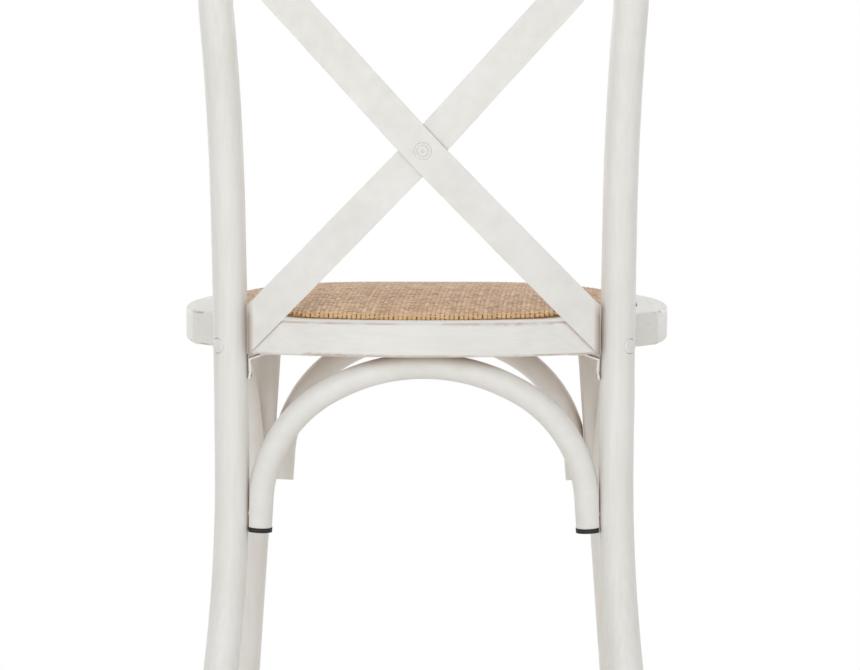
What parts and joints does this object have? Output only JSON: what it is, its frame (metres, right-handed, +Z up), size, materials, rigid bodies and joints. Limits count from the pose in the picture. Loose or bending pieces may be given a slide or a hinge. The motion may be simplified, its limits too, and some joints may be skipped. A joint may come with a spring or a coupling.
{
  "type": "dining chair",
  "caption": "Off-white cross-back dining chair with a bent rod frame, crossed flat back straps, a crowned woven seat and arched braces.",
  "frame": {"origin": "on the floor under the middle of the chair's bounding box", "axes": "+Z up, -Y the way the sitter faces, +X to the sitter's left"},
  "size_m": [0.481, 0.4887, 0.885],
  "materials": {
    "painted_wood": "off-white brushed paint on bent and turned wood, worn to brown along its edges",
    "woven_cane": "natural split cane, closely woven, matt",
    "bare_board": "bare plywood and dowel",
    "painted_steel": "off-white paint, worn along its edges",
    "zinc_steel": "zinc plated",
    "black_plastic": "black, matt",
    "glide_plastic": "pale grey, matt"
  },
  "bodies": {
    "root": {"rear_frame": "painted_wood", "front_leg_left": "painted_wood", "front_leg_right": "painted_wood", "seat_rail_front": "painted_wood", "seat_rail_left": "painted_wood", "seat_rail_right": "painted_wood", "seat_rail_rear": "painted_wood", "rear_hoop": "painted_wood", "front_hoop": "painted_wood", "side_hoop_left": "painted_wood", "side_hoop_right": "painted_wood", "hoop_leg_dowels": "painted_wood", "rattan_seat": "woven_cane", "seat_board": "bare_board", "seat_rail_dowels": "bare_board", "hoop_seat_dowels": "bare_board", "cross_strap_outer": "painted_steel", "cross_strap_inner": "painted_steel", "cross_bolt": "painted_steel", "cross_cap_nut": "painted_steel", "post_bolts": "painted_steel", "seat_bracket_left": "painted_steel", "seat_bracket_right": "painted_steel", "post_barrel_nuts": "zinc_steel", "bracket_screws": "zinc_steel", "seat_board_screws": "zinc_steel", "strap_lower_screws": "zinc_steel", "strap_upper_pins": "zinc_steel", "rear_hoop_caps": "black_plastic", "glide_front_left": "glide_plastic", "glide_front_right": "glide_plastic", "glide_rear_left": "glide_plastic", "glide_rear_right": "glide_plastic"}
  },
  "joints": []
}
